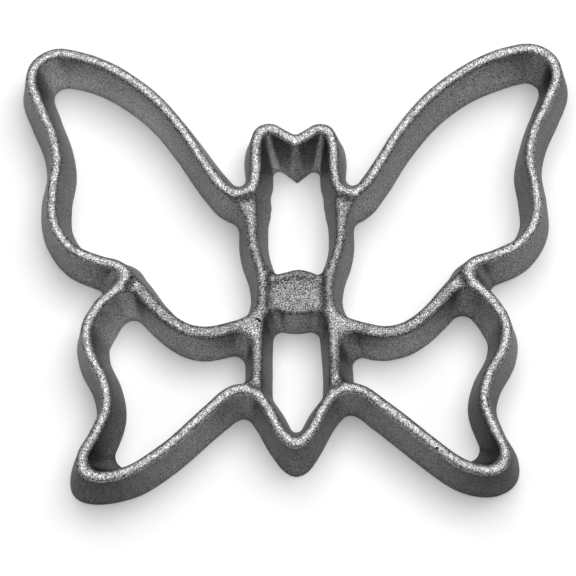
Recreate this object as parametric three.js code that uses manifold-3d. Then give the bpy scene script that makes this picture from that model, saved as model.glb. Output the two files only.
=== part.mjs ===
// Butterfly rosette iron, the aluminium mould that is dipped in batter and then in hot oil.
// It lies on its flat back with the rim up: +X is the right wing, +Y the head, +Z the rim.
// The real iron is one casting, so its walls are made whole and then parted at flat seams.

import * as THREE from 'three';
import { mergeVertices } from 'three/addons/utils/BufferGeometryUtils.js';
import { ParametricGeometry } from 'three/addons/geometries/ParametricGeometry.js';
import Module from 'manifold-3d';

const wasm = await Module();
wasm.setup();

// Driving sizes, in millimetres
const wingReach = 42;          // centre line to the crest of the rim at a wing tip
const wingRise = 36;           // notch between the wings to the crest over the upper wing
const rimHeight = 13.5;        // back face to the crest of the outer rim
const latticeHeight = 12.2;    // back face to the crest of the inner walls
const footWidth = 4.85;        // wall thickness at the back face
const bodyFootWidth = 4.5;     // the same for the walls of the body
const crestWidth = 1.6;        // wall thickness where the outer rim starts to round over
const webSwell = 0.8;          // how much a junction is thicker than the walls that meet there
const bossHeight = 10.8;       // back face to the top of the handle boss
const bossLength = 9.8;        // handle boss along Y, at the back face
const bossCrown = 2.2;         // how far its two free faces are bowed out over the whole span
const bossEdge = 0.9;          // rounding of its top edges
const boreWidth = 4.0;         // core of the tapped hole for the handle
const boreDepth = 7.5;         // full-width depth of that hole
const mouthWidth = 5.4;        // countersink at the mouth of the hole
const drillAngle = 118;        // point of the drill, in degrees
const draftAngle = 6.6;        // slope of every cast wall, in degrees
const driftSize = 1;           // unit of the shifts that make the two halves differ
const driftReach = 9;          // how far such a shift fades out
const spreadReach = 4.5;       // how far the spread of a foot fades out
const stationPitch = 1.2;      // step along a wall between two sections
const overrun = 1;             // how far a cutting solid runs past the metal
const roundSteps = 4;          // facets of a rounded edge
const turnSteps = 24;          // facets of a turned form
const bossSteps = 8;           // facets across the boss

// Outline of the right half of the rim's crest, from the notch in the head, clockwise, to the
// tail: X as a share of wingReach and Y as a share of wingRise, the notch between the wings at 0
const rimShares = [
  [0.000, 0.592], [0.045, 0.623], [0.090, 0.650], [0.130, 0.638], [0.148, 0.575],
  [0.150, 0.460], [0.166, 0.385], [0.212, 0.361], [0.260, 0.385], [0.318, 0.465],
  [0.405, 0.620], [0.530, 0.795], [0.690, 0.930], [0.825, 0.990], [0.915, 0.998],
  [0.980, 0.950], [1.000, 0.875], [0.970, 0.765], [0.922, 0.625], [0.906, 0.510],
  [0.920, 0.375], [0.914, 0.235], [0.850, 0.120], [0.755, 0.065], [0.675, 0.033],
  [0.650, -0.006], [0.675, -0.057], [0.745, -0.145], [0.789, -0.245], [0.780, -0.345],
  [0.728, -0.475], [0.713, -0.585], [0.752, -0.715], [0.790, -0.805], [0.784, -0.868],
  [0.738, -0.897], [0.635, -0.878], [0.515, -0.790], [0.330, -0.607], [0.255, -0.538],
  [0.205, -0.521], [0.150, -0.540], [0.108, -0.602], [0.052, -0.720], [0.000, -0.764],
];

// Crests of the inner walls on the right, in the same shares: from neck to knee, and from the
// body out to the notch between the wings
const bodyWallShares = [
  [0.174, 0.368], [0.169, 0.265], [0.168, 0.170], [0.158, 0.105], [0.135, 0.025],
  [0.124, -0.055], [0.126, -0.125], [0.139, -0.205], [0.144, -0.305], [0.145, -0.420],
  [0.150, -0.540],
];
const dividerShares = [
  [0.135, -0.190], [0.190, -0.222], [0.262, -0.248], [0.340, -0.262], [0.405, -0.250],
  [0.465, -0.212], [0.525, -0.150], [0.585, -0.078], [0.650, -0.006],
];

// Where walls meet: neck, knee, body and notch
const neckShare = [0.178, 0.330];
const kneeShare = [0.155, -0.495];
const crossShare = [0.165, -0.208];
const notchShare = [0.632, -0.020];
const bossShare = [0, -0.077];

// The pattern was cut by hand, so the halves differ a little. Each row is a place, in the same
// shares, and a soft shift there along X and Y as shares of driftSize. A drift moves the whole
// wall and a spread only its foot.
const driftShares = [
  [0.00, 0.20, 0.65, 0.00], [-0.05, 0.55, 0.25, 0.15], [0.08, 0.62, 0.00, -0.25],
  [0.53, -0.70, 0.20, 0.45], [-0.48, -0.70, 0.05, -0.45], [-0.80, -0.86, -0.45, -0.20],
  [-0.76, -0.58, 0.20, 0.00], [0.40, 0.58, -0.25, 0.20], [0.28, 0.33, 0.15, -0.30],
  [-0.30, 0.38, -0.25, -0.20], [0.42, -0.28, 0.00, -0.25], [1.00, 0.92, 0.40, 0.15],
  [-1.00, 0.90, -0.15, 0.20], [-0.92, 0.62, 0.15, 0.00], [0.95, 0.50, -0.50, 0.00],
  [0.88, 0.17, 0.35, 0.15], [0.78, -0.60, -0.50, 0.00], [0.80, -0.38, 0.40, 0.00],
];
const spreadShares = [
  [0.00, 0.44, 0.00, -1.40], [0.00, -0.90, -0.10, -1.60], [0.00, -0.66, 0.00, 0.30],
  [0.12, -0.72, -0.40, 0.10], [-0.84, -0.95, -0.80, -0.70], [0.84, -0.90, 0.40, 0.00],
  [-0.66, -0.80, 0.60, 0.00], [-0.57, 0.11, 0.95, 0.90], [0.58, 0.11, -0.45, 0.40],
  [-0.70, -0.24, 0.70, -0.80], [0.77, -0.20, -0.40, -0.30], [0.24, -0.36, 0.45, -0.50],
  [0.18, -0.44, 0.60, 0.00], [-0.26, 0.46, 0.80, 0.00], [0.24, 0.46, -0.50, 0.00],
  [0.85, 0.62, 0.60, 0.10], [0.80, 0.87, 0.10, -0.40], [-0.90, 0.86, 0.50, -0.30],
  [-0.97, 0.38, -0.40, 0.00], [-0.18, -0.62, 0.00, -0.40], [-0.40, -0.42, 0.00, -0.30],
];

// Seams between the nodes, as shares of the same two sizes
const columnShare = 0.234;     // side of the body column
const neckSeamShare = 0.284;
const kneeSeamShare = -0.446;
const notchSeamShare = 0.582;  // where a divider ends and the wings begin
const wingSeamShare = -0.006;
const bossSeamShare = 0.095;

const place = ([x, y], side = 1) => new THREE.Vector3(side * x * wingReach, y * wingRise, 0);
const footHalf = footWidth / 2;
const crestHalf = crestWidth / 2;
const slope = Math.tan(THREE.MathUtils.degToRad(draftAngle));

// A closed surface becomes a solid once its doubled points are one and no face is empty. A
// mirrored path turns a surface inside out, so one with a negative volume is turned back.
function solid(geometry) {
  geometry.deleteAttribute('normal');
  geometry.deleteAttribute('uv');
  const merged = mergeVertices(geometry);
  const faces = [];
  for (let i = 0; i < merged.index.count; i += 3) {
    const [a, b, c] = [0, 1, 2].map((k) => merged.index.getX(i + k));
    if (a !== b && b !== c && c !== a) faces.push(a, b, c);
  }
  const mesh = (triVerts) => new wasm.Mesh({
    numProp: 3,
    vertProperties: new Float32Array(merged.attributes.position.array),
    triVerts: new Uint32Array(triVerts),
  });
  const made = new wasm.Manifold(mesh(faces));
  return made.volume() > 0 ? made : new wasm.Manifold(mesh(faces.reverse()));
}

const join = (parts) => parts.reduce((whole, part) => whole.add(part));

// Half of a drafted wall's section, from the foot up to the middle of the rounded crest.
function halfSection(height, foot) {
  const round = foot - slope * (height - crestHalf);
  const points = [[foot, 0]];
  for (let i = 0; i <= roundSteps; i += 1) {
    const turn = (i / roundSteps) * (Math.PI / 2);
    points.push([
      (round - crestHalf) + crestHalf * Math.cos(turn),
      height - crestHalf + crestHalf * Math.sin(turn),
    ]);
  }
  if (round > crestHalf) points.push([0, height]);
  return points;
}

// How far the wall may reach to one side of each station before it runs into itself: the
// radius of the circle through this station, square to the path, that touches another one.
function reachOf(stations, normals, side) {
  return stations.map((here, i) => {
    let reach = Infinity;
    stations.forEach((there) => {
      const gap = there.clone().sub(here);
      const ahead = side * gap.dot(normals[i]);
      if (ahead > 0) reach = Math.min(reach, gap.lengthSq() / (2 * ahead));
    });
    return reach;
  });
}

// Points of the wall at one distance from the crest line. Where the wall runs into itself the
// stations that it swallows are gathered in one crease.
function offsetLine(stations, normals, reach, offset, closed) {
  const count = stations.length;
  const line = stations.map((p, i) => p.clone().addScaledVector(normals[i], offset));
  const clear = reach.map((r) => r > Math.abs(offset));
  const step = (i, way) => {
    let k = i;
    while (!clear[k]) {
      k += way;
      if (closed) k = (k + count) % count;
      if (k < 0 || k >= count) return null;
    }
    return line[k];
  };
  return line.map((p, i) => {
    if (clear[i]) return p;
    const before = step(i, -1);
    const after = step(i, 1);
    if (!before || !after) return before ?? after;
    return before.clone().add(after).multiplyScalar(1 / 2);
  });
}

// A wall is one surface of two parameters: along its crest and over its section.
function wall(points, height, foot, closed) {
  const curve = new THREE.CatmullRomCurve3(points, false, 'centripetal');
  const count = Math.round(curve.getLength() / stationPitch);
  curve.arcLengthDivisions = count * points.length;
  const stations = curve.getSpacedPoints(count);
  if (closed) stations.pop();
  const last = stations.length - 1;
  const normals = stations.map((p, i) => {
    const before = stations[closed ? (i + last) % (last + 1) : Math.max(i - 1, 0)];
    const after = stations[closed ? (i + 1) % (last + 1) : Math.min(i + 1, last)];
    const ahead = after.clone().sub(before).normalize();
    return new THREE.Vector3(-ahead.y, ahead.x, 0);
  });
  const half = halfSection(height, foot / 2);
  const crest = half.length - 1;
  const section = [
    ...half.map(([offset, z]) => [-offset, z]),
    ...half.slice(0, crest).reverse(),
  ];
  const reaches = { 1: reachOf(stations, normals, 1), '-1': reachOf(stations, normals, -1) };
  const lines = section.map(([offset, z]) => {
    const side = offset < 0 ? -1 : 1;
    const line = offsetLine(stations, normals, reaches[side], offset, closed);
    return line.map((p) => p.setZ(z));
  });
  const middle = (i) => stations[i].clone().setZ(height / 2);
  const ends = closed ? 0 : 2;
  const rows = stations.length + ends;
  const surface = new ParametricGeometry((u, v, target) => {
    const row = closed ? Math.round(u * rows) % rows : Math.round(u * (rows - 1)) - 1;
    const turn = Math.round(v * section.length) % section.length;
    if (row < 0 || row > last) target.copy(middle(row < 0 ? 0 : last));
    else target.copy(lines[turn][row]);
  }, closed ? rows : rows - 1, section.length);
  return solid(surface);
}

// A junction is a round post with the walls' own draft.
function post(centre, height) {
  const profile = [[0, 0], ...halfSection(height, footHalf + webSwell)];
  const line = profile.map(([r, z]) => new THREE.Vector2(r, z));
  const turned = new THREE.LatheGeometry(line, turnSteps);
  turned.rotateX(Math.PI / 2);
  turned.translate(centre.x, centre.y, 0);
  return solid(turned);
}

// The boss spans the body walls. Its two free faces bow out and have the walls' own draft, and
// its top edges are rounded.
function boss(centre) {
  const span = bossSeamShare * wingReach + footHalf;
  const topHalf = bossLength / 2 - slope * (bossHeight - bossEdge);
  const rows = [[bossLength / 2, 0]];
  for (let i = 0; i <= roundSteps; i += 1) {
    const turn = (i / roundSteps) * (Math.PI / 2);
    rows.push([
      topHalf - bossEdge + bossEdge * Math.cos(turn),
      bossHeight - bossEdge + bossEdge * Math.sin(turn),
    ]);
  }
  const section = [...rows, ...rows.map(([y, z]) => [-y, z]).reverse()];
  const surface = new ParametricGeometry((u, v, target) => {
    const row = Math.round(u * (bossSteps + 2)) - 1;
    const turn = Math.round(v * section.length) % section.length;
    const side = THREE.MathUtils.clamp((2 * row) / bossSteps - 1, -1, 1);
    const [y, z] = section[turn];
    const crown = bossCrown * (side * side) * Math.sign(y);
    const x = centre.x + side * span;
    if (row < 0 || row > bossSteps) target.set(x, centre.y, bossHeight / 2);
    else target.set(x, centre.y + y - crown, z);
  }, bossSteps + 2, section.length);
  return solid(surface);
}

// The drill leaves a round hole with a pointed bottom and a countersunk mouth.
function drill(centre) {
  const bore = boreWidth / 2;
  const mouth = mouthWidth / 2;
  const tip = bore / Math.tan(THREE.MathUtils.degToRad(drillAngle / 2));
  const profile = [
    [0, -overrun], [mouth + overrun, -overrun], [bore, mouth - bore],
    [bore, boreDepth], [0, boreDepth + tip],
  ];
  const line = profile.map(([r, z]) => new THREE.Vector2(r, z));
  const turned = new THREE.LatheGeometry(line, turnSteps);
  turned.rotateX(Math.PI / 2);
  turned.translate(centre.x, centre.y, 0);
  return solid(turned);
}

// Sum of the rows' shifts at a place in plan. Each fades with the square of the distance.
function softShift(rows, reach, x, y) {
  const shift = new THREE.Vector2();
  for (const [xShare, yShare, alongX, alongY] of rows) {
    const gap = Math.hypot(x - xShare * wingReach, y - yShare * wingRise) / reach;
    const pull = driftSize * Math.exp(-(gap ** 2));
    shift.add(new THREE.Vector2(alongX, alongY).multiplyScalar(pull));
  }
  return shift;
}

// Moves one corner point of the casting by the drifts and spreads.
function settle(point) {
  const [x, y, z] = point;
  const shift = softShift(driftShares, driftReach, x, y);
  shift.addScaledVector(softShift(spreadShares, spreadReach, x, y), 1 - z / rimHeight);
  point[0] = x + shift.x;
  point[1] = y + shift.y;
}

// A region of the lattice, from the back face up past the rim.
function region(xLow, xHigh, yLow, yHigh) {
  const height = rimHeight + overrun;
  const box = new THREE.BoxGeometry(xHigh - xLow, yHigh - yLow, height);
  box.translate((xLow + xHigh) / 2, (yLow + yHigh) / 2, height / 2);
  return solid(box);
}

// The whole casting
const rightRim = rimShares.map((share) => place(share));
const leftRim = rimShares.map((share) => place(share, -1)).reverse().slice(1);
const bossPlace = place(bossShare);
const walls = [wall([...rightRim, ...leftRim], rimHeight, footWidth, true)];
for (const side of [-1, 1]) {
  const bodyWall = bodyWallShares.map((share) => place(share, side));
  const divider = dividerShares.map((share) => place(share, side));
  walls.push(wall(bodyWall, latticeHeight, bodyFootWidth, false));
  walls.push(wall(divider, latticeHeight, footWidth, false));
  for (const share of [neckShare, kneeShare, crossShare, notchShare]) {
    walls.push(post(place(share, side), latticeHeight));
  }
}
const whole = join([...walls, boss(bossPlace)]).warp(settle);
const casting = whole.subtract(drill(bossPlace));

// Parting at the seams. The left half is listed, and the right half mirrors it.
const edge = casting.boundingBox();
const [low, high] = [edge.min, edge.max];
const left = low[0] - overrun;
const bottom = low[1] - overrun;
const top = high[1] + overrun;
const column = columnShare * wingReach;
const notchSeam = notchSeamShare * wingReach;
const bossSeam = bossSeamShare * wingReach;
const neckSeam = neckSeamShare * wingRise;
const kneeSeam = kneeSeamShare * wingRise;
const wingSeam = wingSeamShare * wingRise;
const bossLow = bossPlace.y - bossLength / 2 - overrun;
const bossHigh = bossPlace.y + bossLength / 2 + overrun;
const dividerTop = wingSeam + footWidth;
const dividerBottom = kneeSeam;

const mirrored = ([xLow, xHigh, yLow, yHigh]) => [-xHigh, -xLow, yLow, yHigh];
const bossBox = [-bossSeam, bossSeam, bossLow, bossHigh];
const dividerBox = [-notchSeam, -column, dividerBottom, dividerTop];
const besideWings = [-notchSeam, overrun - column, dividerBottom, dividerTop];
const halves = [
  ['upper_wing', [left, -column, wingSeam, top], besideWings],
  ['lower_wing', [left, -column, bottom, wingSeam], besideWings],
  ['wing_divider', dividerBox, null],
  ['body_wall', [-column, 0, kneeSeam, neckSeam], bossBox],
];
const regions = [
  ['head', [-column, column, neckSeam, top], null],
  ['tail', [-column, column, bottom, kneeSeam], null],
  ['handle_boss', bossBox, null],
];
for (const [name, box, without] of halves) {
  regions.push([`left_${name}`, box, without]);
  regions.push([`right_${name}`, mirrored(box), without && mirrored(without)]);
}

// Cast aluminium with its grey skin
const skin = { color: 0x7d7c79, roughness: 0.62, metalness: 0.75 };
const iron = new THREE.Group();
iron.position.set(-(low[0] + high[0]) / 2, -(low[1] + high[1]) / 2, 0);
for (const [name, box, without] of regions) {
  let piece = casting.intersect(region(...box));
  if (without) piece = piece.subtract(region(...without));
  const mesh = piece.getMesh();
  const geometry = new THREE.BufferGeometry();
  geometry.setAttribute('position', new THREE.BufferAttribute(mesh.vertProperties, 3));
  geometry.setIndex(new THREE.BufferAttribute(mesh.triVerts, 1));
  geometry.computeVertexNormals();
  const node = new THREE.Mesh(geometry, new THREE.MeshStandardMaterial(skin));
  node.name = name;
  iron.add(node);
}

const part = new THREE.Group();
part.add(iron);
export default part;
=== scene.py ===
# %% [markdown]
# A rosette iron is an aluminium mould on a rod. It is dipped in batter and then in hot oil.
# The imported model gives its frame: the sizes, the place and the nodes. This notebook makes the
# casting itself: soft fillets, a worn crest that also carries a painted highlight, and a dull grey
# skin with painted light and shade.

import bmesh
import bpy
import numpy as np
from mathutils import Matrix, Vector


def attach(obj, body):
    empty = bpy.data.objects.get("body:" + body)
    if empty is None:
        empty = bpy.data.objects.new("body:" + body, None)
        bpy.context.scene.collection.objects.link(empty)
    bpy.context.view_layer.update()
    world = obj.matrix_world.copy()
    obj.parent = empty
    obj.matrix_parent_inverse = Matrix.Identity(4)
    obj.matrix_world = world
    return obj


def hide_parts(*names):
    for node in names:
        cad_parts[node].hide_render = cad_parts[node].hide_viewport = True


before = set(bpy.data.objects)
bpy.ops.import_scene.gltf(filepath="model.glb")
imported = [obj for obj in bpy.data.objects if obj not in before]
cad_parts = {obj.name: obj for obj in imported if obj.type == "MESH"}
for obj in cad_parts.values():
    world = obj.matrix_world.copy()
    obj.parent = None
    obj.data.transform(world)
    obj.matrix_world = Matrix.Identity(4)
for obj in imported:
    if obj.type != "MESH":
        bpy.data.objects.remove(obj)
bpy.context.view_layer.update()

MM = 0.001

# %% [markdown]
# The camera comes first, because it decides what the picture can show. The photograph was
# taken from nearly straight above with a long lens. A long lens keeps the far walls as large as
# the near ones, so the picture is almost flat. The camera stands a little towards the tail.

# %% Camera
IMAGE_SIDE = 576                       # pixels along each side of the picture
FOCAL_PIXELS = 4000                    # focal length of the lens, in the same pixels
SENSOR = 36                            # width of the camera's sensor
MM_PER_PIXEL = 0.162                   # scale of the picture at the floor
TILT = np.radians(11.23)               # away from the vertical, towards the tail
SIDE_LEAN = np.radians(1.14)
IMAGE_TURN = np.radians(0.39)
AIM = Vector((-1.40, -1.68, 0)) * MM   # the point of the floor in the middle of the picture
FAR_CLIP = 10


def look_along(tilt, side, turn):
    """Three axes of the camera: it looks down, leans back by tilt and aside by side, and the
    picture is then turned about the vertical."""
    ahead = Vector((-np.sin(side), np.sin(tilt) * np.cos(side), -np.cos(tilt) * np.cos(side)))
    right = ahead.cross(Vector((0, 1, 0))).normalized()
    axes = Matrix((right, right.cross(ahead), -ahead)).transposed()
    return Matrix.Rotation(-turn, 3, "Z") @ axes


axes = look_along(TILT, SIDE_LEAN, IMAGE_TURN)
lens = bpy.data.cameras.new("camera")
lens.sensor_width = SENSOR
lens.lens = FOCAL_PIXELS / IMAGE_SIDE * SENSOR
lens.clip_end = FAR_CLIP
camera = bpy.data.objects.new("camera", lens)
bpy.context.scene.collection.objects.link(camera)
distance = FOCAL_PIXELS * MM_PER_PIXEL * MM
camera.matrix_world = Matrix.Translation(AIM + axes.col[2] * distance) @ axes.to_4x4()
bpy.context.scene.camera = camera
print("camera, mm above the floor:", round(camera.location.z / MM))

# %% [markdown]
# The casting is a lattice of drafted walls. Seen from above it is drawn by a few lines, the
# crests of its walls. The rim is one closed line with a single corner, at the notch of the
# head. The inner walls start and end on other lines. They are written as shares of the wings'
# reach and rise, and smooth curves go through them.

# %% Sizes of the casting, in millimetres
WING_REACH = 42                   # middle of the body to the rim's crest at a wing tip
WING_RISE = 36                    # wing notch to the rim's crest over the upper wing
RIM_HEIGHT = 13.5
LATTICE_HEIGHT = 12.2             # crests of the inner walls
BOSS_HEIGHT = 10.8
FOOT_HALF = 2.41                  # half of a wall's thickness at the floor
BODY_THINNER = 0.17               # how much nearer to the crest line a body wall's flank lies
SLOPE = np.tan(np.radians(6.6))   # draft of every flank
BOSS_LENGTH = 9.8                 # between the boss's two free faces, at the floor
BOSS_CENTRE = -2.77
FACE_RADIUS = 9.0                 # bow of those two faces
PITCH = 0.32                      # step between two stations of a crest line
SPAN_STEPS = 60                   # points worked out between two shares, before the even steps

# %% Crest lines, as shares of the reach and rise of the wings
rim_shares = [
    (0.000, 0.592), (0.045, 0.623), (0.090, 0.650), (0.130, 0.638), (0.148, 0.575),
    (0.150, 0.460), (0.166, 0.385), (0.212, 0.361), (0.260, 0.385), (0.318, 0.465),
    (0.405, 0.620), (0.530, 0.795), (0.690, 0.930), (0.825, 0.990), (0.915, 0.998),
    (0.980, 0.950), (1.000, 0.875), (0.970, 0.765), (0.922, 0.625), (0.906, 0.510),
    (0.920, 0.375), (0.914, 0.235), (0.850, 0.120), (0.755, 0.065), (0.675, 0.033),
    (0.650, -0.006), (0.675, -0.057), (0.745, -0.145), (0.789, -0.245), (0.780, -0.345),
    (0.728, -0.475), (0.713, -0.585), (0.752, -0.715), (0.790, -0.805), (0.784, -0.868),
    (0.738, -0.897), (0.635, -0.878), (0.515, -0.790), (0.330, -0.607), (0.255, -0.538),
    (0.205, -0.521), (0.150, -0.540), (0.108, -0.602), (0.052, -0.720), (0.000, -0.764),
]
body_wall_shares = [
    (0.174, 0.368), (0.169, 0.265), (0.168, 0.170), (0.158, 0.105), (0.135, 0.025),
    (0.124, -0.055), (0.126, -0.125), (0.139, -0.205), (0.144, -0.305), (0.145, -0.420),
    (0.150, -0.540),
]
divider_shares = [
    (0.135, -0.190), (0.190, -0.222), (0.262, -0.248), (0.340, -0.262), (0.405, -0.250),
    (0.465, -0.212), (0.525, -0.150), (0.585, -0.078), (0.650, -0.006),
]


def smooth_line(points):
    """A curve through the points, cut at even steps. On each span a cubic joins two points. The
    slope at a point weighs its two neighbours by the square roots of their distances. The count
    of steps is even, so that a mirrored line keeps a station on the middle line."""
    ends = [2 * points[0] - points[1], 2 * points[-1] - points[-2]]
    points = np.vstack([ends[0], points, ends[1]])
    gap = np.sqrt(np.linalg.norm(np.diff(points, axis=0), axis=1))[:, None]
    before, here, after = gap[:-2], gap[1:-1], gap[2:]
    a, b, c, d = points[:-3], points[1:-2], points[2:-1], points[3:]
    start = here * ((b - a) / before - (c - a) / (before + here) + (c - b) / here)
    stop = here * ((c - b) / here - (d - b) / (here + after) + (d - c) / after)
    u = np.linspace(0, 1, SPAN_STEPS, endpoint=False)[:, None, None]
    dense = (2 * u**3 - 3 * u**2 + 1) * b + (u**3 - 2 * u**2 + u) * start
    dense = dense + (3 * u**2 - 2 * u**3) * c + (u**3 - u**2) * stop
    dense = np.vstack([dense.transpose(1, 0, 2).reshape(-1, 2), points[-2]])
    length = np.append(0, np.cumsum(np.linalg.norm(np.diff(dense, axis=0), axis=1)))
    even = np.linspace(0, length[-1], 2 * round(length[-1] / PITCH / 2) + 1)
    return np.stack([np.interp(even, length, dense[:, k]) for k in range(2)], axis=1)


def crest_line(shares):
    """The curve of one wall in millimetres, from its shares."""
    return smooth_line(np.array(shares) * (WING_REACH, WING_RISE))


def mirrored(points):
    """The same points on the other side of the body."""
    return points * np.append([-1.0], np.ones(points.shape[-1] - 1))


right_rim = np.array(rim_shares)
rim = crest_line(np.vstack([right_rim, mirrored(right_rim)[-2::-1]]))[:-1]
body_wall = crest_line(body_wall_shares)
divider = crest_line(divider_shares)
print("stations on rim, body wall, divider:", len(rim), len(body_wall), len(divider))

# %% [markdown]
# Where a wall ends on another, both lines need one common point, or the surfaces would leave a
# crack. So the end of a wall snaps to the nearest station of the wall that it meets.

# %% Junctions


def nearest(line, point):
    """Index of the station nearest to a point."""
    return int(np.argmin(np.linalg.norm(line - point, axis=1)))


neck = nearest(rim, body_wall[0])
knee = nearest(rim, body_wall[-1])
notch = nearest(rim, divider[-1])
body_wall[[0, -1]] = rim[[neck, knee]]
crossing = nearest(body_wall, divider[0])
divider[[0, -1]] = body_wall[crossing], rim[notch]
print("neck, knee and notch at", rim[[neck, knee, notch]].round(2).tolist())

# %% [markdown]
# The boss for the handle fills the body between its two walls. Its upper and lower faces bow
# out, so each of its crest lines is a flat arc from wall to wall.

# %% Crest lines of the boss
PATH_HALF = BOSS_LENGTH / 2 - FOOT_HALF
PATH_RADIUS = FACE_RADIUS - FOOT_HALF
boss_span = body_wall[np.argmin(np.abs(body_wall[:, 1] - BOSS_CENTRE)), 0]
boss_steps = round(2 * boss_span / PITCH)


def boss_line(way):
    """The arc of one boss face, from the left body wall to the right one, and the index of the
    station where it meets them. It starts and ends on stations of the walls."""
    reach = np.abs(body_wall[:, 0])
    arc = BOSS_CENTRE + way * (PATH_HALF - reach**2 / (2 * PATH_RADIUS))
    meets = int(np.argmin(np.abs(body_wall[:, 1] - arc)))
    end_x, end_y = body_wall[meets]
    x = np.linspace(-end_x, end_x, boss_steps + 1)
    y = BOSS_CENTRE + way * (PATH_HALF - x**2 / (2 * PATH_RADIUS))
    y = y + (end_y - y[0]) * (x / end_x) ** 2
    return np.stack([x, y], axis=1), meets


boss_top_line, boss_top = boss_line(1)
boss_low_line, boss_low = boss_line(-1)
print("the boss meets the walls at y =", body_wall[[boss_top, boss_low], 1].round(2))

# %% [markdown]
# Six open cells and the outside are seven faces of the lattice. Each is one loop of crest
# lines. Walking clockwise round a cell keeps it on the right, so every flank is made the same
# way: step off the crest to the right, and go down the slope of the wall to the floor.
#
# Cast corners are never sharp. A ball rolled along inside the corner gives their shape: its
# centre stays on the line one ball radius further in, and where it touches both walls at once
# it leaves an arc. Most corners have one ball for every height. A few have another at the crest
# than at the foot, and the ball between is then of a size between.

# %% Loops and the radius of each corner
BALL_RADIUS = 1.1        # wherever no corner below is near
GROOVE_RADIUS = 1.3      # on the outside of the rim
CROSS_UPPER, CROSS_LOWER, CROSS_CREST = 3.8, 1.8, 2.4
NECK_ROUND, KNEE_ROUND = 2.0, 1.8
NECK_CREST_ROUND = 7.0
INLINE_ROUND = 1.6
NOTCH_UPPER, NOTCH_LOWER = 6.0, 2.3
TIP_ROUND = 2.0
BOSS_ROUND, BOSS_CREST_ROUND = 1.5, 2.1
NEAR, FAR = 3.0, 9.0     # how far from its corner a radius holds


def closed_loop(*pieces):
    """Joins pieces of crest line, each without its last station, which starts the next one."""
    return np.vstack([piece[:-1] for piece in pieces])


def corner_radii(loop, corners, plain):
    """Ball radii for each station, at the foot and at the crest: those of the corner whose
    reach it lies deepest in, or the plain one outside them all."""
    radii = np.full((len(loop), 2), plain)
    depth = np.ones(len(loop))
    for point, foot, crest, reach in corners:
        share = np.linalg.norm(loop - point, axis=1) / reach
        radii[share < depth] = foot, crest
        depth = np.minimum(share, depth)
    return radii.T


def both(point):
    """A point on the right and its mirror image on the left."""
    return point, mirrored(point)


left_wall = mirrored(body_wall)
round_rim = np.vstack([rim, rim[:1]])
neck_point, knee_point, notch_point = rim[neck], rim[knee], rim[notch]
tip_point = rim[nearest(rim, np.array([WING_REACH, -WING_RISE]))]
cross_point = body_wall[crossing]
loops = {
    "upper_wing": (
        closed_loop(rim[neck:notch + 1], divider[::-1], body_wall[crossing::-1]),
        [(neck_point, NECK_ROUND, NECK_CREST_ROUND, FAR),
         (notch_point, NOTCH_UPPER, NOTCH_UPPER, FAR),
         (cross_point, CROSS_UPPER, CROSS_UPPER, FAR)],
    ),
    "lower_wing": (
        closed_loop(rim[notch:knee + 1], body_wall[:crossing - 1:-1], divider),
        [(notch_point, NOTCH_LOWER, NOTCH_LOWER, FAR), (knee_point, KNEE_ROUND, KNEE_ROUND, FAR),
         (cross_point, CROSS_LOWER, CROSS_CREST, FAR), (tip_point, TIP_ROUND, TIP_ROUND, FAR)],
    ),
    "upper_body": (
        closed_loop(
            round_rim[-1 - neck:], rim[:neck + 1], body_wall[:boss_top + 1],
            boss_top_line[::-1], left_wall[boss_top::-1],
        ),
        [(point, INLINE_ROUND, INLINE_ROUND, NEAR) for point in both(neck_point)]
        + [(point, BOSS_ROUND, BOSS_ROUND, FAR) for point in boss_top_line[[0, -1]]],
    ),
    "lower_body": (
        closed_loop(
            body_wall[boss_low:], rim[knee:len(rim) - knee + 1],
            left_wall[:boss_low - 1:-1], boss_low_line,
        ),
        [(point, INLINE_ROUND, INLINE_ROUND, NEAR) for point in both(knee_point)]
        + [(point, BOSS_ROUND, BOSS_CREST_ROUND, FAR) for point in boss_low_line[[0, -1]]],
    ),
}
print({name: len(loop) for name, (loop, corners) in loops.items()})

# %% [markdown]
# The tops of the walls are not all alike. The rim stands highest, the inner walls a little
# lower, and the boss lower still. Where a lower wall meets a higher one the metal runs down in
# a small S: over the round crest, and out through a fillet.

# %% Height of the tops
CREST_ROUND = 0.8
RIM_FILLET = 1.5
BOSS_FILLET = 1.05


def distance_to(line, points):
    """Distance from each point to the nearest station of a line."""
    gaps = points[:, None, :] - line[None, :, :]
    return np.sqrt((gaps**2).sum(axis=2).min(axis=1))


def run_down(gap, high, low, fillet):
    """Height at a distance from a crest line: a convex arc that leaves the crest level, and a
    concave arc that meets it at one slope and lands level on the lower top."""
    swing = np.arccos(1 - (high - low) / (CREST_ROUND + fillet))
    turn = CREST_ROUND * np.sin(swing)
    landing = (CREST_ROUND + fillet) * np.sin(swing)
    crest = high - CREST_ROUND + np.sqrt(np.maximum(CREST_ROUND**2 - gap**2, 0))
    left = np.clip(landing - gap, 0, fillet)
    foot = low + fillet - np.sqrt(fillet**2 - left**2)
    return np.where(gap < turn, crest, foot)


both_walls = np.vstack([body_wall, left_wall])


def top_height(points, name):
    """Height of the metal's top at points in plan. It is level over the wings' inner walls. In
    the body it drops from the walls to the boss. The rim runs down to either of them."""
    floor = np.full(len(points), LATTICE_HEIGHT)
    if "body" in name:
        gap = distance_to(both_walls, points)
        floor = run_down(gap, LATTICE_HEIGHT, BOSS_HEIGHT, BOSS_FILLET)
    share = run_down(distance_to(rim, points), RIM_HEIGHT, LATTICE_HEIGHT, RIM_FILLET)
    share = (share - LATTICE_HEIGHT) / (RIM_HEIGHT - LATTICE_HEIGHT)
    return floor + (RIM_HEIGHT - floor) * share


test_gaps = np.array([0, CREST_ROUND, CREST_ROUND + RIM_FILLET])
print("rim runs down:", run_down(test_gaps, RIM_HEIGHT, LATTICE_HEIGHT, RIM_FILLET).round(2))

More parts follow.
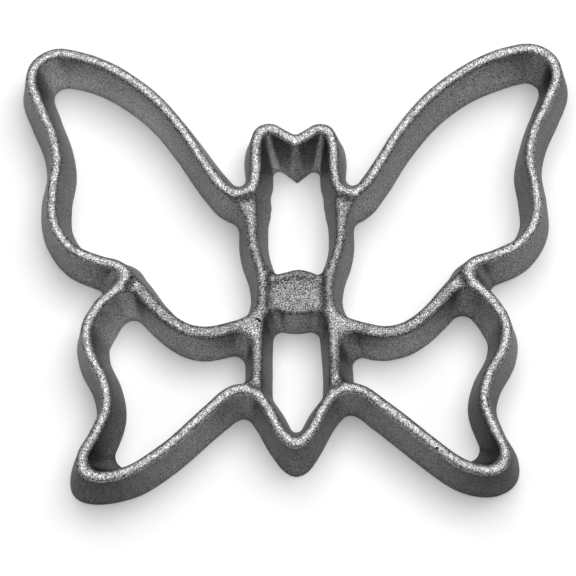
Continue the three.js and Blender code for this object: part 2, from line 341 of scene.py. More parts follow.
# %% [markdown]
# One flank is a surface of two parameters: the station along the loop, and the row down the
# section. Rows near the crest follow its round edge, and those below it the draft. Two stations
# that would pass each other are held on the ball's arc, so the surface never folds.

# %% Rows of one flank
WEB_SHARES = (0, 0.25, 0.5, 0.75)
CREST_TURNS = np.radians((0, 20, 40, 60, 76))
SIDE_SHARES = (0, 0.14, 0.3, 0.46, 0.62, 0.76, 0.88, 1)
FOOT_ROUND = 0.25
FOOT_TURNS = np.radians((30, 60, 90))
THIN_FADE = 4.0
NO_WEB = 0.4
MOST_MITRE = 1.3
TINY = 1e-6
NEVER = 1e9


def smooth_step(value, low, high):
    """0 below low, 1 above high, and a smooth S between."""
    share = np.clip((value - low) / (high - low), 0, 1)
    return share * share * (3 - 2 * share)


def square_to(loop):
    """Unit normals to the right of a closed loop, longer at a corner so that both neighbours
    keep their distance."""
    back, front = loop - np.roll(loop, 1, axis=0), np.roll(loop, -1, axis=0) - loop
    back = back / np.linalg.norm(back, axis=1)[:, None]
    front = front / np.linalg.norm(front, axis=1)[:, None]
    ahead = back + front
    size = np.linalg.norm(ahead, axis=1)[:, None]
    mitre = np.minimum(2 / size, MOST_MITRE)
    return np.stack([ahead[:, 1], -ahead[:, 0]], axis=1) / size * mitre


def reach_of(loop, normals):
    """How far each station can move along its normal before it meets the metal opposite: the
    radius of the circle that touches the line here and passes through another station."""
    gaps = loop[None, :, :] - loop[:, None, :]
    ahead = (gaps * normals[:, None, :]).sum(axis=2)
    radius = (gaps**2).sum(axis=2) / (2 * np.maximum(ahead, TINY))
    return np.where(ahead > TINY, radius, NEVER).min(axis=1)


def clear_neighbours(clear):
    """For every station, the index of the last clear one before it and the first one after it,
    round the loop."""
    count = len(clear)
    index = np.where(np.tile(clear, 3), np.arange(3 * count), -1)
    before = np.maximum.accumulate(index)[count:2 * count]
    index = np.where(np.tile(clear, 3), np.arange(3 * count), 3 * count)
    after = np.minimum.accumulate(index[::-1])[::-1][count:2 * count]
    return before, after


def rolled_line(loop, normals, reach, ball, offset):
    """The line at an offset from the crest with its corners rounded by the ball. A clear
    station steps off square to the crest. The others lie on an arc about the ball's centre,
    which is where the two lines further in by its radius cross."""
    count = len(loop)
    inner = loop + normals * (offset + ball)[:, None]
    line = loop + normals * offset[:, None]
    clear = reach > offset + ball
    before, after = clear_neighbours(clear)
    share = (np.arange(count) + count - before) / np.maximum(after - before, 1)
    p, q = before % count, after % count
    along_p = inner[(p + 1) % count] - inner[p]
    along_q = inner[(q - 1) % count] - inner[q]
    gap = inner[q] - inner[p]
    cross = along_p[:, 0] * along_q[:, 1] - along_p[:, 1] * along_q[:, 0]
    cross = np.where(np.abs(cross) < TINY, NEVER, cross)
    step = np.clip((gap[:, 0] * along_q[:, 1] - gap[:, 1] * along_q[:, 0]) / cross, 0, 1)
    centre = inner[p] + along_p * step[:, None]
    angle_p = np.arctan2(-normals[p, 1], -normals[p, 0])
    angle_q = np.arctan2(-normals[q, 1], -normals[q, 0])
    swing = (angle_q - angle_p + np.pi) % (2 * np.pi) - np.pi
    angle = angle_p + swing * share
    arc = centre + ball[:, None] * np.stack([np.cos(angle), np.sin(angle)], axis=1)
    return np.where(clear[:, None], line, arc)


def flank(loop, corners, name, plain=BALL_RADIUS):
    """Grid of points, rows from the crest down the flank and back under the wall."""
    normals = square_to(loop)
    reach = reach_of(loop, normals)
    foot_ball, crest_ball = corner_radii(loop, corners, plain)
    thinner = BODY_THINNER * smooth_step(distance_to(rim, loop), 0, THIN_FADE)
    thinner = thinner * (1 - smooth_step(distance_to(both_walls, loop), 0, THIN_FADE))

    def row(offset, share=1.0):
        """The line at an offset. The share is 1 for the ball of the crest and 0 for the foot's."""
        ball = foot_ball + (crest_ball - foot_ball) * share
        return rolled_line(loop, normals, reach, ball, offset - thinner)

    # In a corner a web of metal fills the gap between the crest lines and the ball. Elsewhere the
    # edge of the web is the crest line itself.
    edge = row(thinner)
    narrow = np.linalg.norm(edge - loop, axis=1) < NO_WEB
    edge = np.where(narrow[:, None], loop, edge)
    top = top_height(edge, name)
    webs = [loop + (edge - loop) * share for share in WEB_SHARES]
    rows = [(web, top_height(web, name)) for web in webs] + [(edge, top)]
    draft = np.arctan(SLOPE)
    level = top - CREST_ROUND
    shoulder = FOOT_HALF - SLOPE * level - CREST_ROUND / np.cos(draft)
    for turn in CREST_TURNS:
        rows.append((
            row(shoulder + CREST_ROUND * np.sin(turn)),
            level + CREST_ROUND * np.cos(turn),
        ))
    high = level + CREST_ROUND * np.sin(draft)
    for share in SIDE_SHARES:
        z = high + (FOOT_ROUND - high) * share
        rows.append((row(FOOT_HALF - SLOPE * z, 1 - share), z))
    inset = FOOT_HALF - SLOPE * FOOT_ROUND - FOOT_ROUND
    for turn in FOOT_TURNS:
        z = FOOT_ROUND * (1 - np.sin(turn))
        rows.append((row(inset + FOOT_ROUND * np.cos(turn), 0.0), np.full(len(loop), z)))
    rows.append((loop, np.zeros(len(loop))))
    return np.stack([np.column_stack([line, height]) for line, height in rows])


grids = []
for name, (loop, corners) in loops.items():
    grid = flank(loop, corners, name)
    grids.append(grid)
    if "wing" in name:
        grids.append(mirrored(grid))
grids.append(flank(rim[::-1], [], "outside", GROOVE_RADIUS))
grids = [np.concatenate([grid, grid[:, :1]], axis=1) for grid in grids]
print("flanks:", len(grids), "points:", sum(grid.shape[0] * grid.shape[1] for grid in grids))

# %% [markdown]
# The boss still needs its top and its back. The top is a sheet held by four edges: two wall
# crests and the two arcs. The back has the tapped hole for the rod of the handle, so it runs in
# rings from the edge of the boss to the mouth of the hole and then down the thread.

# %% Top and back of the boss
MOUTH_RADIUS = 2.7
CORE_RADIUS = 2.0
THREAD_RADIUS = 2.35
THREAD_PITCH = 0.8
TURN_RINGS = 8
BORE_DEPTH = 7.5
DRILL_POINT = 1.2
RING_SHARES = (0, 0.35, 0.7)

side_right = body_wall[boss_top:boss_low + 1]
side_left = mirrored(side_right)


def held_sheet(top, low, left, right):
    """A grid held by four edges: the blend from top to low, plus what the sides depart from
    the straight lines between its corners."""
    u = np.linspace(0, 1, top.shape[0])[None, :, None]
    v = np.linspace(0, 1, left.shape[0])[:, None, None]
    across = top[None] * (1 - v) + low[None] * v
    down = left[:, None] * (1 - u) + right[:, None] * u
    ends = (top[0] * (1 - u) + top[-1] * u) * (1 - v) + (low[0] * (1 - u) + low[-1] * u) * v
    return across + down - ends


sheet = held_sheet(boss_top_line, boss_low_line, side_left, side_right)
flat = sheet.reshape(-1, 2)
boss_cap = np.column_stack([flat, top_height(flat, "body")]).reshape(*sheet.shape[:2], 3)

outline = closed_loop(boss_top_line, side_right, boss_low_line[::-1], side_left[::-1])
middle = np.array([0, BOSS_CENTRE])
bearing = np.arctan2(outline[:, 1] - middle[1], outline[:, 0] - middle[0])
ray = np.stack([np.cos(bearing), np.sin(bearing)], axis=1)


def ring(radius, z):
    """A ring about the axis of the hole. Its radius may change from point to point."""
    line = middle + ray * np.broadcast_to(radius, len(ray))[:, None]
    return np.column_stack([line, np.broadcast_to(z, len(ray))])


mouth = middle + ray * MOUTH_RADIUS
rings = [
    np.column_stack([outline + (mouth - outline) * share, np.zeros(len(ray))])
    for share in RING_SHARES
]
rings.append(ring(MOUTH_RADIUS, 0))
for z in np.arange(MOUTH_RADIUS - THREAD_RADIUS, BORE_DEPTH, THREAD_PITCH / TURN_RINGS):
    phase = (z / THREAD_PITCH + bearing / (2 * np.pi)) % 1
    ridge = 1 - np.abs(2 * phase - 1)
    rings.append(ring(THREAD_RADIUS - (THREAD_RADIUS - CORE_RADIUS) * ridge, z))
rings.append(ring(CORE_RADIUS, BORE_DEPTH))
rings.append(ring(0, BORE_DEPTH + DRILL_POINT))
hole = np.stack(rings)
hole = np.concatenate([hole, hole[:, :1]], axis=1)
print("boss cap", boss_cap.shape[:2], "rings of the back", hole.shape[:2])

# %% [markdown]
# Now all grids become one mesh. Neighbouring grids share their edge points exactly, so merging
# the doubles closes the casting. Rows that lie on each other near a crest vanish by the same
# step. The normals are then worked out again, because a mirrored grid faces inwards. All of it
# is still in millimetres.

# %% One closed mesh
MERGE_DIGITS = 4
MERGE_GAP = 0.002
LEAST_EDGE = 0.0005
CUBIC_CM = 1000


def triangles_of(rows, columns, first):
    """Two triangles for each cell of a grid, by the index of its points."""
    index = first + np.arange(rows * columns).reshape(rows, columns)
    a, b = index[:-1, :-1].ravel(), index[:-1, 1:].ravel()
    c, d = index[1:, 1:].ravel(), index[1:, :-1].ravel()
    return np.vstack([np.column_stack([a, b, c]), np.column_stack([a, c, d])])


def mesh_of(name, sheets):
    """Points and triangles of all grids in one mesh, with the doubles merged."""
    points, triangles, first = [], [], 0
    for grid in sheets:
        rows, columns = grid.shape[:2]
        points.append(grid.reshape(-1, 3))
        triangles.append(triangles_of(rows, columns, first))
        first += rows * columns
    points = np.vstack(points)
    whole, place = np.unique(points.round(MERGE_DIGITS), axis=0, return_inverse=True)
    triangles = place.reshape(-1)[np.vstack(triangles)]
    a, b, c = triangles.T
    triangles = triangles[(a != b) & (b != c) & (c != a)]
    mesh = bpy.data.meshes.new(name)
    mesh.from_pydata(whole, [], triangles)
    return mesh


casting_mesh = mesh_of("casting", [*grids, boss_cap, hole])
work = bmesh.new()
work.from_mesh(casting_mesh)
bmesh.ops.remove_doubles(work, verts=work.verts, dist=MERGE_GAP)
bmesh.ops.dissolve_degenerate(work, edges=work.edges, dist=LEAST_EDGE)
bmesh.ops.recalc_face_normals(work, faces=work.faces)
open_edges = [edge for edge in work.edges if len(edge.link_faces) != 2]
volume = work.calc_volume(signed=True)
work.to_mesh(casting_mesh)
work.free()
print("triangles:", len(casting_mesh.polygons), "edges not shared by two:", len(open_edges))
print("volume, cubic cm:", round(volume / CUBIC_CM, 2))

# %% [markdown]
# The wooden pattern for such a mould is cut by hand, so its two halves are not quite alike. The
# body leans to one side, the wings turn a little, and at some feet the metal spreads wider.
# Each row below is a place, in the shares above, how far the row reaches, and a soft shift, both
# in millimetres. A drift moves the whole wall, and a spread only its foot.

# %% Drifts of the pattern and spreads of its feet
drifts = [
    (0.00, 0.20, 9, 0.65, 0.00), (-0.05, 0.55, 9, 0.25, 0.15), (0.08, 0.62, 9, 0.00, -0.25),
    (0.53, -0.70, 9, 0.25, 0.55), (-0.48, -0.70, 9, 0.05, -0.45),
    (-0.80, -0.86, 9, -0.60, -0.22), (-0.76, -0.58, 9, 0.20, 0.00),
    (0.40, 0.58, 9, -0.25, 0.20), (0.28, 0.33, 9, -0.05, -0.25), (-0.30, 0.38, 9, -0.25, -0.20),
    (0.42, -0.28, 9, 0.00, -0.25), (1.00, 0.92, 9, 0.28, 0.12), (-1.00, 0.90, 9, -0.15, 0.20),
    (-0.92, 0.62, 9, 0.15, 0.00), (0.95, 0.50, 9, -0.50, 0.00), (0.88, 0.17, 9, 0.35, 0.15),
    (0.78, -0.60, 9, -0.50, 0.00), (0.80, -0.38, 9, 0.40, 0.00), (0.82, -0.86, 5, -0.20, 0.15),
    (-0.63, 0.00, 4, 0.60, -0.05),
]
spreads = [
    (0.00, 0.44, 4.5, 0.00, -1.35), (-0.10, 0.62, 4.5, 0.00, -0.50),
    (0.10, 0.62, 4.5, 0.00, -0.50), (0.00, -0.90, 4.5, -0.10, -1.60),
    (0.00, -0.66, 4.5, 0.00, 0.30), (0.12, -0.72, 4.5, -0.40, 0.10),
    (-0.84, -0.95, 4.5, -0.80, -0.70), (0.84, -0.90, 4.5, 0.40, 0.00),
    (-0.66, -0.80, 4.5, 0.60, 0.00), (-0.57, 0.11, 4.5, 0.95, 0.90),
    (0.58, 0.11, 4.5, -0.45, 0.40), (-0.70, -0.24, 4.5, 0.70, -0.80),
    (0.77, -0.20, 4.5, -0.40, -0.30), (0.24, -0.36, 4.5, 0.45, -0.50),
    (0.18, -0.44, 4.5, 0.60, 0.00), (-0.26, 0.46, 4.5, 0.80, 0.00),
    (0.24, 0.46, 4.5, -0.50, 0.00), (0.85, 0.62, 4.5, 0.60, 0.10),
    (0.80, 0.87, 4.5, 0.10, -0.40), (-0.90, 0.86, 4.5, 0.50, -0.30),
    (-0.97, 0.38, 4.5, -0.40, 0.00), (-0.18, -0.62, 4.5, 0.00, -0.40),
    (-0.40, -0.42, 4.5, 0.00, -0.30), (-0.045, 0.02, 1.6, 0.00, -0.75),
    (0.05, 0.02, 1.6, 0.00, -0.60), (0.00, 0.03, 1.6, 0.00, 0.25),
    (-0.11, 0.34, 1.6, 0.50, 0.00), (0.12, 0.34, 1.6, -0.40, 0.00),
    (-0.10, 0.43, 1.6, -0.35, 0.00), (0.11, 0.43, 1.6, 0.30, 0.00),
    (-0.63, 0.05, 4, -0.40, 0.05), (-0.07, -0.86, 2.5, -0.35, 0.10),
    (0.07, -0.86, 2.5, 0.30, 0.10),
]


def bells(rows, plan):
    """The sum of the rows at points in plan. A row is a place, a reach in millimetres, and
    values that fade with the distance from the place as a bell does."""
    rows = np.array(rows)
    gaps = np.linalg.norm(plan[None] - rows[:, None, :2] * (WING_REACH, WING_RISE), axis=2)
    return np.exp(-(gaps / rows[:, 2:3]) ** 2).T @ rows[:, 3:]


def settled(points):
    """Points of the casting after drifts and spreads, with its box about the origin in plan."""
    lowness = 1 - points[:, 2:] / RIM_HEIGHT
    plan = points[:, :2] + bells(drifts, points[:, :2])
    plan = plan + bells(spreads, points[:, :2]) * lowness
    plan = plan - (plan.max(axis=0) + plan.min(axis=0)) / 2
    return np.column_stack([plan, points[:, 2]])


# %% [markdown]
# A sand casting is never quite flat. Its surface swells and sinks by a few hundredths of a
# millimetre, over lengths from one to ten millimetres. A sum of waves in many directions gives
# that. It only takes metal away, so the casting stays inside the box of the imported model.

# %% Uneven skin of the casting
SWELLS = ((9.0, 0.03), (3.2, 0.02), (1.5, 0.010))   # length and depth of the waves
WAVES = 14
WAVE_SPREAD = (0.7, 1.3)                            # how much denser or wider they may lie
LIFT_OFF = 1.2                                      # below this height they fade out


def waves(points, length, seed):
    """A smooth field, mostly between -1 and 1: the sum of plane waves in random directions, all
    of about one length, over the root of their number."""
    random = np.random.default_rng(seed)
    ways = random.normal(size=(WAVES, 3))
    ways = ways / np.linalg.norm(ways, axis=1)[:, None]
    ways = ways * random.uniform(*WAVE_SPREAD, size=(WAVES, 1)) * 2 * np.pi / length
    phases = random.uniform(0, 2 * np.pi, size=WAVES)
    return np.sin(points @ ways.T + phases).sum(axis=1) / np.sqrt(WAVES)


def read_vectors(values, count):
    """An attribute of three numbers for each vertex, as one array."""
    flat = np.empty(count * 3)
    values.foreach_get("co" if hasattr(values[0], "co") else "vector", flat)
    return flat.reshape(-1, 3)


count = len(casting_mesh.vertices)
drawn = read_vectors(casting_mesh.vertices, count)
points = settled(drawn)
casting_mesh.vertices.foreach_set("co", points.ravel())
casting_mesh.update()
outward = read_vectors(casting_mesh.vertex_normals, count)
sink = sum(size * (1 + waves(points, length, i)) / 2 for i, (length, size) in enumerate(SWELLS))
sink = np.clip(sink, 0, None) * np.clip(points[:, 2] / LIFT_OFF, 0, 1)
points = points - outward * sink[:, None]
print("metal taken away, mm: mean", sink.mean().round(3), "most", sink.max().round(3))

# %% [markdown]
# The mesh goes into the scene in metres, at the origin and unturned, as the nodes of the packed
# model do. It stands for all of them, because the real iron is one piece: the seams between the
# nodes are not on it.

# %% Place the casting in the frame
casting_mesh.vertices.foreach_set("co", (points * MM).ravel())
casting_mesh.shade_smooth()
casting_mesh.update()
casting = bpy.data.objects.new("casting", casting_mesh)
bpy.context.scene.collection.objects.link(casting)
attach(casting, "root")
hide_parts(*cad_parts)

# %% [markdown]
# Handling and scraping wear the iron on the crests, the webs and the boss. There the grey skin is
# gone and bright metal shows. What is level and high up is worn first, and it also faces the lamp,
# so the bright metal there is also a painted highlight. So the value kept on the mesh, for wear
# and painted highlight together, is how level the surface is. It is less on the inner walls, which
# are lower than the rim, but more on the boss, whose flat top gets a stronger painted highlight.
# It is also less near the upper edge of the boss and in the corners where walls meet: there the
# dark skin is kept as painted shade. A row of those corners is a place, a reach and a loss.

# %% Wear and painted highlight on the casting, with painted shade in corners
WEAR_HIGHLIGHT_FROM_HEIGHT = 9.5
BORDER = 0.8
BORDER_SHADE = 0.36
LOWER_LOSS = 0.085
BOSS_HIGHLIGHT = 0.06
WORN_AND_LIT_FROM, WORN_AND_LIT_FULL = 0.85, 0.98
# Corners where painted shade keeps the skin dark: place in shares, reach and loss.
shaded_corners = [
    (0.105, -0.02, 0.9, 0.30), (0.105, -0.06, 0.9, 0.30), (-0.105, -0.04, 0.8, 0.15),
    (0.10, -0.10, 1.1, 0.35), (-0.10, -0.10, 1.1, 0.30), (0.15, -0.48, 1.7, 0.40),
    (-0.15, -0.48, 1.7, 0.40), (-0.63, -0.03, 2.0, 0.60), (0.61, -0.04, 1.8, 0.50),
]

plan, height = drawn[:, :2], drawn[:, 2]
facing = read_vectors(casting_mesh.vertex_normals, count)
sunk = 1 - smooth_step(height, BOSS_HEIGHT, LATTICE_HEIGHT)
lower = 1 - smooth_step(height, LATTICE_HEIGHT, RIM_HEIGHT)
boss_edge_shade = sunk * (1 - smooth_step(distance_to(boss_top_line, plan), 0, BORDER))
# Wear plus a painted highlight on level tops and on the boss, less painted shade at the boss's
# upper edge and in corners.
wear_and_highlight = facing[:, 2] - BORDER_SHADE * boss_edge_shade - LOWER_LOSS * lower + BOSS_HIGHLIGHT * sunk
wear_and_highlight = wear_and_highlight - bells(shaded_corners, plan)[:, 0] * lower
wear_and_highlight = wear_and_highlight * (points[:, 2] > WEAR_HIGHLIGHT_FROM_HEIGHT)
print("share of vertices that are worn:", (wear_and_highlight > WORN_AND_LIT_FROM).mean().round(3))

# %% [markdown]
# Elsewhere the grey skin is darkened by painted shade, which follows the way a flank faces. In the
# cells it is darker than on the outside, but flanks that face the tail have little of it. It grows
# darker with the height, and level metal has none. Near the upper edge of the boss it is darker
# too, and in some patches darker still. Other patches and the feet get painted light and are paler
# than the rest, most low down. A row of either list is a place in the shares, a reach in
# millimetres, and an amount.

# %% Where the painted shade lies, and where painted light makes the skin pale
SHADE_OUTSIDE = 0.16
SHADE_IN_CELLS = 0.32
SHADE_AT_BOSS_EDGE = 0.55
SHADE_RISE = 0.18
SHADE_MIDDLE = 0.4          # share of the height at which the rise adds nothing
TAILWARD = -0.7            # in a cell, flanks whose normals point this far to the tail have none
STEEP, LEVEL = 0.2, 0.6    # rise of a normal up to which all the painted shade stays, and where it ends
RIM_EDGE = 0.5             # width over which the inside of the rim turns to the outside
FOOT_LIGHT = 0.03
# Patches of extra painted shade.
shade_patches = [
    (-0.75, -0.90, 9, 0.48), (0.75, -0.90, 9, 0.50), (0.00, -0.82, 7, 0.40),
    (-0.70, -0.62, 7, 0.25), (0.72, -0.62, 7, 0.30), (1.01, 0.96, 5, 0.50),
    (0.95, 0.45, 8, 0.20), (0.66, -0.08, 5, 0.30), (0.01, 0.52, 1.8, 0.50),
    (-0.09, 0.595, 1.2, 0.15), (0.11, 0.59, 1.2, 0.40), (-0.10, -0.18, 1.2, 0.45),
    (0.10, -0.18, 1.2, 0.45), (0.15, -0.49, 2, 0.45), (-0.15, -0.49, 2, 0.45),
    (0.45, -0.60, 6, 0.20), (0.20, -0.28, 1.5, 0.30),
]
# Patches of painted light.
painted_light_patches = [
    (-0.60, 0.70, 8, 0.65), (-0.88, 0.86, 5, 0.60), (-0.63, -0.20, 4.5, 0.50),
    (-0.05, 0.59, 1.5, 0.50), (0.05, 0.59, 1.5, 0.40), (-0.12, -0.02, 1.2, 1.00),
    (0.12, -0.02, 1.2, 1.00), (-0.12, 0.55, 2, 0.25), (0.12, 0.55, 2, 0.25),
]


def beyond_rim(plan):
    """How far points in plan lie outside the crest line of the rim, and less than 0 inside."""
    gaps = plan[:, None, :] - rim[None, :, :]
    station = (gaps**2).sum(axis=2).argmin(axis=1)
    inward = square_to(rim)[station]
    return -((plan - rim[station]) * inward).sum(axis=1)


outside = smooth_step(beyond_rim(plan), 0, RIM_EDGE)
# Painted shade: by the facing of a flank, by height, in patches and at the upper edge of the boss.
painted_shade = SHADE_IN_CELLS * smooth_step(facing[:, 1], TAILWARD, 0)
painted_shade = painted_shade + (SHADE_OUTSIDE - painted_shade) * outside + bells(shade_patches, plan)[:, 0]
painted_shade = painted_shade + SHADE_RISE * (height / RIM_HEIGHT - SHADE_MIDDLE)
painted_shade = painted_shade * (1 - smooth_step(facing[:, 2], STEEP, LEVEL)) + SHADE_AT_BOSS_EDGE * boss_edge_shade
# Painted light: patches and feet made paler, fading with the height.
painted_light = bells(painted_light_patches, plan)[:, 0] * (1 - outside) + FOOT_LIGHT
painted_light = painted_light * (1 - height / RIM_HEIGHT)
for name, values in (("wear_and_highlight", wear_and_highlight), ("painted_shade", painted_shade), ("painted_light", painted_light)):
    casting_mesh.attributes.new(name, "FLOAT", "POINT").data.foreach_set("value", values)
print("mean of the film and of the paleness:", painted_shade.mean().round(2), painted_light.mean().round(2))

# %% [markdown]
# A material is a tree of nodes. These short helpers add one node each and return its output, so
# the materials below read like sums.

# %% Helpers for nodes
COLOUR_A, COLOUR_B, COLOUR_OUT = 6, 7, 2   # sockets of a Mix node when it mixes colours


def setting(tree, socket, value):
    """Gives a socket a number, a colour or a link."""
    if isinstance(value, bpy.types.NodeSocket):
        tree.links.new(value, socket)
    elif isinstance(value, tuple):
        socket.default_value = (*value, 1)
    else:
        socket.default_value = value


def noise(tree, scale, detail=2.0, roughness=0.6):
    """A noise texture on the object's own coordinates, about 0.5 in the mean."""
    where = tree.nodes.new("ShaderNodeTexCoord")
    texture = tree.nodes.new("ShaderNodeTexNoise")
    setting(tree, texture.inputs["Vector"], where.outputs["Object"])
    setting(tree, texture.inputs["Scale"], scale)
    setting(tree, texture.inputs["Detail"], detail)
    setting(tree, texture.inputs["Roughness"], roughness)
    return texture.outputs["Fac"]


def remap(tree, value, low, high, to_low=0.0, to_high=1.0):
    """Maps a range of values to another one, and holds what lies outside at its ends."""
    node = tree.nodes.new("ShaderNodeMapRange")
    for socket, number in zip(node.inputs, (value, low, high, to_low, to_high)):
        setting(tree, socket, number)
    return node.outputs["Result"]


def combine(tree, operation, a, b):
    """A Math node of two values."""
    node = tree.nodes.new("ShaderNodeMath")
    node.operation = operation
    setting(tree, node.inputs[0], a)
    setting(tree, node.inputs[1], b)
    return node.outputs["Value"]


def mix(tree, mask, a, b):
    """A colour that runs from a to b with the mask."""
    node = tree.nodes.new("ShaderNodeMix")
    node.data_type = "RGBA"
    setting(tree, node.inputs["Factor"], mask)
    setting(tree, node.inputs[COLOUR_A], a)
    setting(tree, node.inputs[COLOUR_B], b)
    return node.outputs[COLOUR_OUT]


def new_material(name, piece):
    """A material with its Principled shader, put on a piece."""
    material = bpy.data.materials.new(name)
    material.use_nodes = True
    piece.data.materials.append(material)
    return material.node_tree, material.node_tree.nodes["Principled BSDF"].inputs


print("helpers:", [each.__name__ for each in (setting, noise, remap, combine, mix, new_material)])

# %% [markdown]
# Worn metal does not end at a clean line. Its border is ragged, since the cast surface is rough
# and its high grains are rubbed first. So a fine and a coarse noise are added to the value for
# wear and painted highlight before it becomes a mask. All noises follow the object's own
# coordinates. A second value, polish, runs from 0 at the height of the boss to 1 at the rim, which
# is rubbed most.

# %% Where the metal is worn, and where it has a painted highlight
RAGGED_SCALE, RAGGED = 3000, 0.17   # scale of the fine noise, and how much it adds or takes
BROAD_SCALE, BROAD = 500, 0.06      # the same for the coarse one
NOISE_LOW, NOISE_HIGH = 0.3, 0.7    # most of a noise lies between these
metal, inputs = new_material("cast_aluminium", casting)


def kept(name):
    """A value that was kept on the mesh."""
    node = metal.nodes.new("ShaderNodeAttribute")
    node.attribute_name = name
    return node.outputs["Fac"]


where = metal.nodes.new("ShaderNodeTexCoord")
along = metal.nodes.new("ShaderNodeSeparateXYZ")
setting(metal, along.inputs[0], where.outputs["Object"])
ragged = noise(metal, RAGGED_SCALE, detail=3, roughness=0.75)
ragged = remap(metal, ragged, NOISE_LOW, NOISE_HIGH, -RAGGED, RAGGED)
broad = remap(metal, noise(metal, BROAD_SCALE), NOISE_LOW, NOISE_HIGH, -BROAD, BROAD)
ragged_wear_and_highlight = combine(metal, "ADD", combine(metal, "ADD", kept("wear_and_highlight"), ragged), broad)
worn_and_lit = remap(metal, ragged_wear_and_highlight, WORN_AND_LIT_FROM, WORN_AND_LIT_FULL)
polish = remap(metal, along.outputs["Z"], BOSS_HEIGHT * MM, RIM_HEIGHT * MM)
print("nodes for the wear:", len(metal.nodes))

# %% [markdown]
# The skin of the casting is a mottled grey with fine light and dark grains. Above that lie the
# painted light and the painted shade that the mesh has kept. A little oil has also gathered in
# clumps beside the bright metal, where it has gone nearly black. Each range below is that of a
# noise or a value over which a mask opens.

# %% Grey skin
SKIN_DARK, SKIN_LIGHT = (0.24, 0.25, 0.247), (0.31, 0.32, 0.316)
CLUMP_SCALE, CLUMP_RANGE = 420, (0.35, 0.65)
GRAIN_SCALE = 4600
LIGHT_GRAIN_RANGE, LIGHT_GRAIN = (0.5, 0.62), (0.70, 0.71, 0.70)
DARK_GRAIN_RANGE, DARK_GRAIN = (0.5, 0.38), (0.02, 0.021, 0.021)
WHITE, BLACK = (1.0, 1.0, 1.0), (0.0, 0.0, 0.0)
OIL_CLUMP_RANGE, MOST_OIL = (0.5, 0.65), 0.5
OIL_WEAR_HIGHLIGHT_RANGE, OIL = (0.55, 0.7), (0.03, 0.03, 0.03)

grain = noise(metal, GRAIN_SCALE, roughness=0.7)
clumps = noise(metal, CLUMP_SCALE, detail=3)
skin = mix(metal, remap(metal, clumps, *CLUMP_RANGE), SKIN_DARK, SKIN_LIGHT)
# Painted light, then painted shade, go into the skin's colour.
skin = mix(metal, kept("painted_light"), skin, WHITE)
skin = mix(metal, remap(metal, grain, *LIGHT_GRAIN_RANGE), skin, LIGHT_GRAIN)
skin = mix(metal, remap(metal, grain, *DARK_GRAIN_RANGE), skin, DARK_GRAIN)
skin = mix(metal, kept("painted_shade"), skin, BLACK)
oil = remap(metal, clumps, *OIL_CLUMP_RANGE, 0, MOST_OIL)
grime = combine(metal, "MULTIPLY", remap(metal, ragged_wear_and_highlight, *OIL_WEAR_HIGHLIGHT_RANGE), oil)
skin = mix(metal, grime, skin, OIL)
print("nodes with the skin:", len(metal.nodes))

# %% [markdown]
# Bare aluminium is bright, and brightest on the rim. Its small facets and pores show as light
# and dark specks. The light ones are weaker on the boss, and the dark ones on the rim.

# %% Bare metal
BARE_LOW, BARE_HIGH = (0.23, 0.23, 0.23), (0.50, 0.51, 0.50)
SPECK_SCALE = 5600
LIGHT_SPECK_RANGE, LIGHT_SPECK = (0.51, 0.58), (1.0, 1.0, 0.99)
DARK_SPECK_RANGE, DARK_SPECK = (0.48, 0.41), (0.045, 0.045, 0.047)
HALF_POLISH = 0.5
LIGHT_ON_BOSS, DARK_ON_RIM = 0.5, 0.6   # share of the specks that is left there

speck = noise(metal, SPECK_SCALE, detail=1)
strong = remap(metal, polish, 0, HALF_POLISH, LIGHT_ON_BOSS, 1)
light_specks = combine(metal, "MULTIPLY", remap(metal, speck, *LIGHT_SPECK_RANGE), strong)
faint = remap(metal, polish, HALF_POLISH, 1, 1, DARK_ON_RIM)
dark_specks = combine(metal, "MULTIPLY", remap(metal, speck, *DARK_SPECK_RANGE), faint)
bare = mix(metal, polish, BARE_LOW, BARE_HIGH)
bare = mix(metal, light_specks, bare, LIGHT_SPECK)
bare = mix(metal, dark_specks, bare, DARK_SPECK)
# Bare metal shows where the metal is worn, and as a painted highlight on level tops.
colour = mix(metal, worn_and_lit, skin, bare)
print("nodes with the bare metal:", len(metal.nodes))

# %% [markdown]
# Gas in the melt leaves small pits, and a few of them show on the crests. They are deep for their
# width, so they lie in shade and look black. They are not cut into the mesh, so their black is
# painted shade. Each is a ball about a point, and its edge is made ragged by the noise of the
# specks. Three of them lie so close that they make one crooked pit.

# %% Pits
PIT_SHADE = (0.01, 0.01, 0.01)
PIT_CORE = 0.6      # share of its radius that is quite black
PIT_RAGGED = 0.3    # share by which the noise moves its edge in or out
pits = [            # place and radius in millimetres
    (-6.05, -9.05, 12.2, 0.30), (-5.75, -9.30, 12.2, 0.36), (-6.05, -10.1, 12.2, 0.20),
    (34.75, 2.41, 13.4, 0.24), (22.08, -30.27, 13.4, 0.24),
]

rough = remap(metal, speck, NOISE_LOW, NOISE_HIGH, 1 - PIT_RAGGED, 1 + PIT_RAGGED)
# Each pit's black is painted shade.
for *place, radius in pits:
    gap = metal.nodes.new("ShaderNodeVectorMath")
    gap.operation = "DISTANCE"
    setting(metal, gap.inputs[0], where.outputs["Object"])
    gap.inputs[1].default_value = Vector(place) * MM
    ragged_gap = combine(metal, "MULTIPLY", gap.outputs["Value"], rough)
    pit_shade_mask = remap(metal, ragged_gap, PIT_CORE * radius * MM, radius * MM, 1, 0)
    colour = mix(metal, pit_shade_mask, colour, PIT_SHADE)
print("pits:", len(pits))

# %% [markdown]
# The oiled skin is a little glossy, and the specked crest scatters the light more widely. The
# grains also stand out a little from the skin. That is too fine for the mesh, so it is a bump.

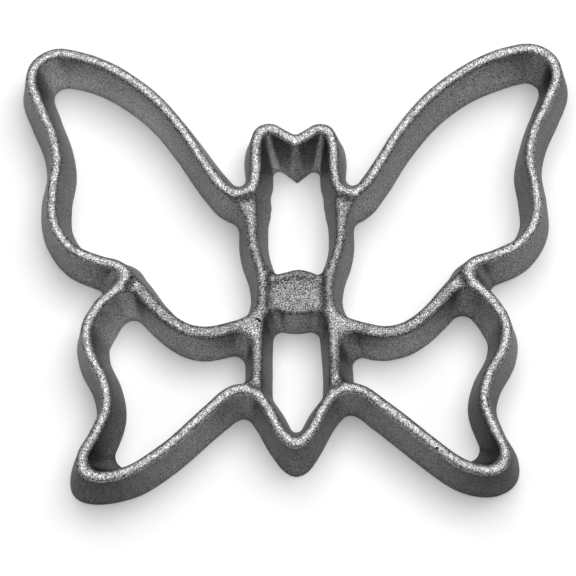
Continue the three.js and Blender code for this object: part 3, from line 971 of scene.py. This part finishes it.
# %% Shader of the metal
METALLIC = 0.9
EDGE_TINT = (0.35, 0.35, 0.35)
SHINE_WEAR_HIGHLIGHT_RANGE = (0.3, 0.6)
OILED_ROUGHNESS, WORN_ROUGHNESS = 0.38, 0.7
BUMP_STRENGTH = 0.5
GRAIN_HEIGHT = 0.08

setting(metal, inputs["Base Color"], colour)
setting(metal, inputs["Metallic"], METALLIC)
setting(metal, inputs["Specular Tint"], EDGE_TINT)
roughness = remap(metal, ragged_wear_and_highlight, *SHINE_WEAR_HIGHLIGHT_RANGE, OILED_ROUGHNESS, WORN_ROUGHNESS)
setting(metal, inputs["Roughness"], roughness)
bump = metal.nodes.new("ShaderNodeBump")
setting(metal, bump.inputs["Strength"], BUMP_STRENGTH)
setting(metal, bump.inputs["Distance"], GRAIN_HEIGHT * MM)
setting(metal, bump.inputs["Height"], grain)
setting(metal, inputs["Normal"], bump.outputs["Normal"])
print("nodes of the metal:", len(metal.nodes))

# %% [markdown]
# The floor is white paper. It catches the soft shadow of the iron. Where no shadow falls, the
# photograph is pure white. So the camera and reflections see the paper pure white and with a
# faint glow, while the light that it throws on the iron is that of plain paper.

# %% Floor
PAPER = (0.9, 0.9, 0.9)
PAPER_ROUGHNESS = 0.9
PAPER_GLOW = 0.04
FLOOR_SIDE = 3

bpy.ops.mesh.primitive_plane_add(size=FLOOR_SIDE)
floor = bpy.context.object
floor.name = "floor"
paper, inputs = new_material("paper", floor)
path = paper.nodes.new("ShaderNodeLightPath").outputs
seen = combine(paper, "MAXIMUM", path["Is Camera Ray"], path["Is Glossy Ray"])
seen = combine(paper, "MAXIMUM", seen, path["Is Transmission Ray"])
setting(paper, inputs["Base Color"], mix(paper, seen, PAPER, WHITE))
setting(paper, inputs["Roughness"], PAPER_ROUGHNESS)
setting(paper, inputs["Emission Color"], WHITE)
setting(paper, inputs["Emission Strength"], combine(paper, "MULTIPLY", seen, PAPER_GLOW))
print("floor, mm from side to side:", round(FLOOR_SIDE / MM))

# %% [markdown]
# One broad soft lamp hangs high above the iron, a little towards the head and the right. Its
# place and size come from the soft shadows on the paper. The world fills the shadows.

# %% Light
WORLD_LIGHT = 0.155
LAMP_PLACE = Vector((0.10, 0.25, 1.10))
LAMP_SIDE = 0.8
LAMP_POWER = 13

world = bpy.data.worlds.new("studio")
bpy.context.scene.world = world
world.use_nodes = True
sky = world.node_tree.nodes["Background"].inputs
setting(world.node_tree, sky["Color"], WHITE)
setting(world.node_tree, sky["Strength"], WORLD_LIGHT)
lamp_data = bpy.data.lights.new("softbox", "AREA")
lamp_data.size = LAMP_SIDE
lamp_data.energy = LAMP_POWER
lamp = bpy.data.objects.new("softbox", lamp_data)
bpy.context.scene.collection.objects.link(lamp)
aim = (-LAMP_PLACE).to_track_quat("-Z", "Y")
lamp.matrix_world = Matrix.Translation(LAMP_PLACE) @ aim.to_matrix().to_4x4()
bpy.context.scene.view_settings.view_transform = "Standard"
print("lamp, mm from the iron:", round(LAMP_PLACE.length / MM))
